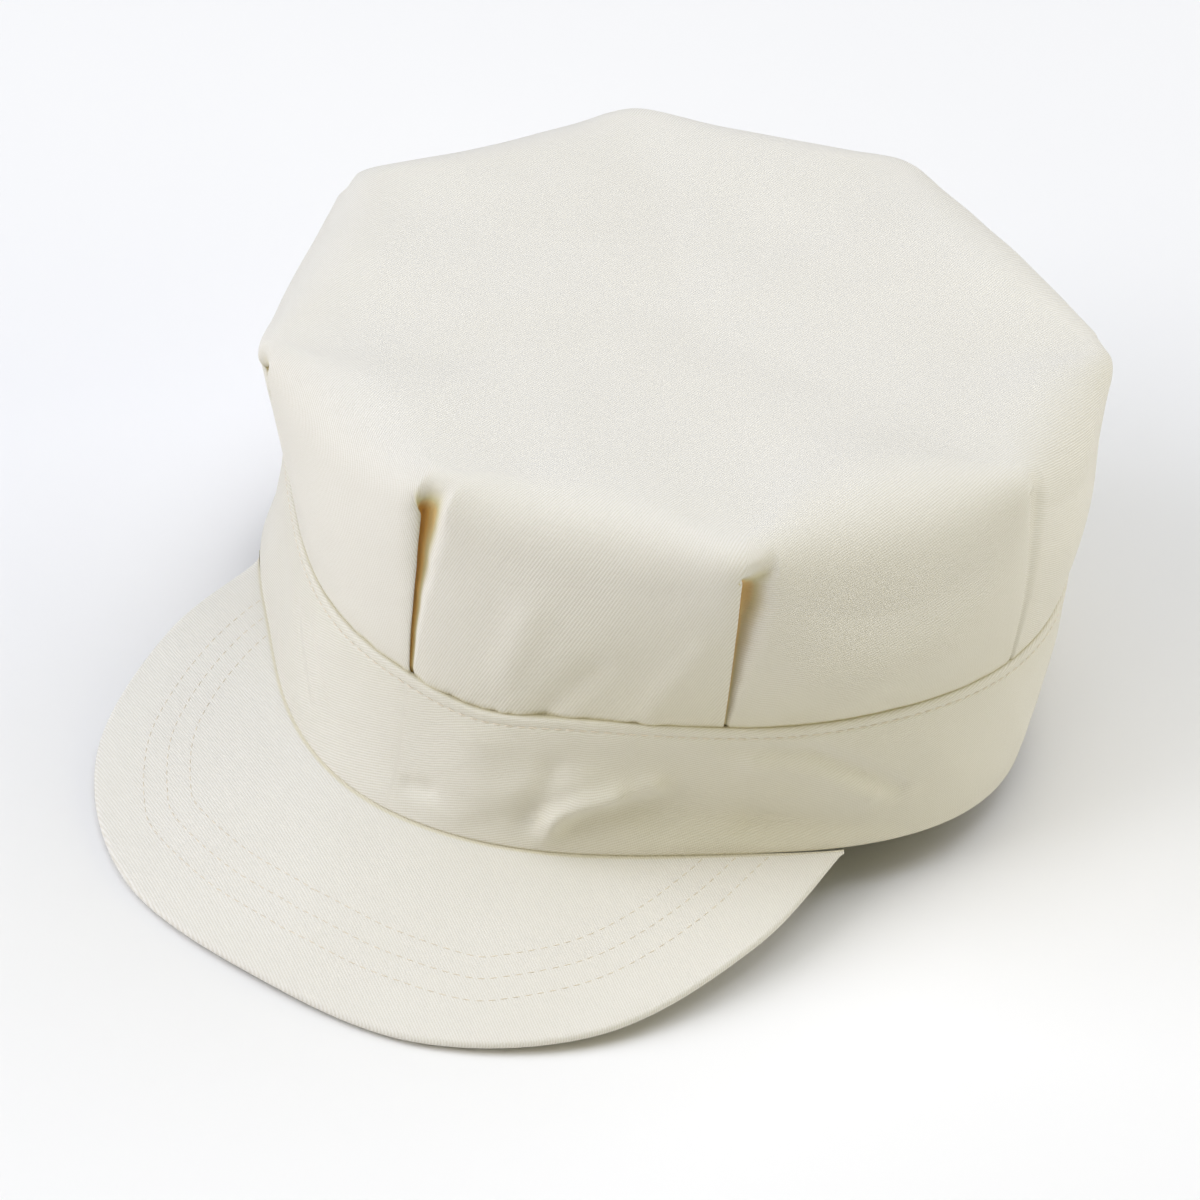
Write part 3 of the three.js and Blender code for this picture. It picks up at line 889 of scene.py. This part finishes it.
def twill_material(name, colour, groove_colour, pitch, turn):
    """Cotton twill: diagonal ribs broken up by the yarns, slubs, a little soiling and a soft sheen.
    The mesh's painted shade turns it olive up to a half, and then golden brown for deep shade."""
    material = bpy.data.materials.new(name)
    material.use_nodes = True
    tree = material.node_tree
    shader = tree.nodes["Principled BSDF"]
    cloth = node(tree, "ShaderNodeUVMap", uv_map="cloth").outputs[0]
    turned = node(tree, "ShaderNodeMapping", {"Vector": cloth, "Rotation": (0, 0, math.radians(turn))})
    across = node(tree, "ShaderNodeSeparateXYZ", {0: turned.outputs[0]})
    slub = node(tree, "ShaderNodeTexNoise", {"Vector": cloth, "Scale": 0.35, "Detail": 3.0})
    wander = maths(tree, "MULTIPLY", slub.outputs["Fac"], 2.4)
    phase = maths(tree, "ADD", maths(tree, "MULTIPLY", across.outputs[0], 2 * math.pi / pitch), wander)
    rib = maths(tree, "SINE", phase)
    weft = maths(tree, "SINE", maths(tree, "MULTIPLY", across.outputs[1], 2 * math.pi / WEFT_PITCH))
    yarn = node(tree, "ShaderNodeTexNoise", {"Vector": turned.outputs[0], "Scale": 2.2, "Detail": 2.0})
    yarn_height = maths(tree, "MULTIPLY_ADD", yarn.outputs["Fac"], 1.6)
    yarn_height.node.inputs[2].default_value = -0.8
    height = maths(tree, "ADD", rib, maths(tree, "MULTIPLY", weft, 0.25))
    height = maths(tree, "ADD", height, yarn_height)

    shade = spread(tree, height, -1.5, 0.9)
    ribs = blend(tree, shade, linear(groove_colour), linear(colour))
    cloud = node(tree, "ShaderNodeTexNoise", {"Vector": cloth, "Scale": 0.022, "Detail": 4.0})
    soil = spread(tree, cloud.outputs["Fac"], 0.4, 0.75, 0.22)
    soiled = blend(tree, soil, ribs, linear(groove_colour))
    # Painted shade: the mesh's painted shade value darkens the cloth to olive and then to golden brown.
    depth = node(tree, "ShaderNodeAttribute", attribute_name="painted_shade").outputs["Fac"]
    olive_shade = spread(tree, depth, 0.0, 0.5)
    deep_shade = spread(tree, depth, 0.5, 1.0)
    olive_shaded = blend(tree, olive_shade, soiled, linear(OLIVE_SHADE_COLOUR))
    deep_shaded = blend(tree, deep_shade, olive_shaded, linear(DEEP_SHADE_COLOUR))
    tree.links.new(deep_shaded, shader.inputs["Base Color"])
    bump = node(tree, "ShaderNodeBump", {"Height": height, "Strength": 0.25, "Distance": 0.00012})
    tree.links.new(bump.outputs[0], shader.inputs["Normal"])
    shader.inputs["Roughness"].default_value = 0.85
    shader.inputs["Specular IOR Level"].default_value = 0.25
    shader.inputs["Sheen Weight"].default_value = 0.12
    shader.inputs["Sheen Roughness"].default_value = 0.45
    return material


def thread_material(name, colour):
    material = bpy.data.materials.new(name)
    material.use_nodes = True
    tree = material.node_tree
    shader = tree.nodes["Principled BSDF"]
    place = node(tree, "ShaderNodeTexCoord").outputs["Object"]
    twist = node(tree, "ShaderNodeTexNoise", {"Vector": place, "Scale": 2500.0, "Detail": 2.0})
    tone = blend(tree, twist.outputs["Fac"], linear([c * 0.94 for c in colour]), linear(colour))
    tree.links.new(tone, shader.inputs["Base Color"])
    relief = {"Height": twist.outputs["Fac"], "Strength": 0.4, "Distance": 0.00005}
    bump = node(tree, "ShaderNodeBump", relief)
    tree.links.new(bump.outputs[0], shader.inputs["Normal"])
    shader.inputs["Roughness"].default_value = 0.6
    shader.inputs["Sheen Weight"].default_value = 0.2
    return material


# Stage, lights and camera


def make_floor():
    material = bpy.data.materials.new("floor_paint")
    material.use_nodes = True
    tree = material.node_tree
    shader = tree.nodes["Principled BSDF"]
    place = node(tree, "ShaderNodeTexCoord").outputs["Object"]
    grain = node(tree, "ShaderNodeTexNoise", {"Vector": place, "Scale": 3.0, "Detail": 2.0})
    tone = blend(tree, grain.outputs["Fac"], (0.84, 0.84, 0.84, 1), (0.86, 0.86, 0.86, 1))
    tree.links.new(tone, shader.inputs["Base Color"])
    shader.inputs["Roughness"].default_value = 0.9
    bpy.ops.mesh.primitive_plane_add(size=12, location=(0, 0, -0.0002))
    floor = bpy.context.object
    floor.name = "floor"
    floor.data.materials.append(material)


def compass(azimuth, elevation):
    """The way to a compass angle, where 0 is the front and +X is 90, and a height, both in degrees."""
    turn, lift = math.radians(azimuth), math.radians(elevation)
    return Vector((math.sin(turn) * math.cos(lift), -math.cos(turn) * math.cos(lift), math.sin(lift)))


LAMP_DISTANCE = 2.2
LAMP_SIZE = 1.8
LAMPS = [
    # name, azimuth, elevation, power, colour
    ("left", -45, 40, 35.4, (0.89, 0.91, 1)),
    ("front", -12, 25, 12.5, (1, 0.89, 0.64)),
    ("right", 105, 20, 18.5, (1, 0.93, 0.62)),
    ("back", 160, 40, 23.8, (0.93, 0.93, 1)),
    ("overhead", 0, 89, 21.4, (0.91, 0.95, 1)),
]


def soft_light(name, azimuth, elevation, power, colour):
    """A square lamp that looks at the cap from a compass angle and a height."""
    lamp = bpy.data.lights.new(name, "AREA")
    lamp.energy, lamp.size, lamp.color = power, LAMP_SIZE, colour
    holder = bpy.data.objects.new(name, lamp)
    away = compass(azimuth, elevation)
    holder.location = away * LAMP_DISTANCE
    holder.rotation_euler = away.to_track_quat("Z", "Y").to_euler()
    bpy.context.scene.collection.objects.link(holder)


CAMERA_AZIMUTH = 35.394
CAMERA_ELEVATION = 38.336
CAMERA_ROLL = 3.172
CAMERA_DISTANCE = 1.46436
CAMERA_TARGET = (0.0078, -0.00745, 0.03861)
CAMERA_LENS = 195.03


def make_camera():
    data = bpy.data.cameras.new("camera")
    data.lens, data.sensor_width = CAMERA_LENS, 36
    camera = bpy.data.objects.new("camera", data)
    away = compass(CAMERA_AZIMUTH, CAMERA_ELEVATION)
    camera.location = Vector(CAMERA_TARGET) + away * CAMERA_DISTANCE
    aim = away.to_track_quat("Z", "Y").to_matrix().to_4x4()
    camera.rotation_euler = (aim @ Matrix.Rotation(math.radians(CAMERA_ROLL), 4, "Z")).to_euler()
    bpy.context.scene.collection.objects.link(camera)
    bpy.context.scene.camera = camera


crown_twill = twill_material("crown_twill", (230, 228, 222), (211, 207, 195), 0.56, 0)
band_twill = twill_material("band_twill", (228, 226, 219), (209, 205, 192), 0.6, 70)
peak_twill = twill_material("peak_twill", (231, 229, 224), (215, 211, 201), 0.56, 64)
thread = thread_material("ivory_thread", (226, 217, 200))

make_crown(crown_twill)
make_band(band_twill)
make_peak(peak_twill)

angles = np.linspace(0, 360, 1440)
top_row = seam_height(angles) - STITCH_DROP
stitch_line = round_point(angles, band_surface(angles, top_row) + 0.1, top_row)
make_stitches("band_topstitch", stitch_line, round_point(angles, 1, 0), STITCH_PITCH, BAND_THREAD, thread)

for number in range(ROWS):
    path, up = stitch_row(number)
    make_stitches(f"peak_stitch_{number + 1}", path + up * 0.02, up, STITCH_PITCH, PEAK_THREAD, thread)

make_floor()
for lamp_row in LAMPS:
    soft_light(*lamp_row)
world = bpy.data.worlds.new("studio")
world.use_nodes = True
world.node_tree.nodes["Background"].inputs["Color"].default_value = (1, 1, 1, 1)
world.node_tree.nodes["Background"].inputs["Strength"].default_value = 0.0
bpy.context.scene.world = world
bpy.context.scene.view_settings.view_transform = "Standard"
make_camera()
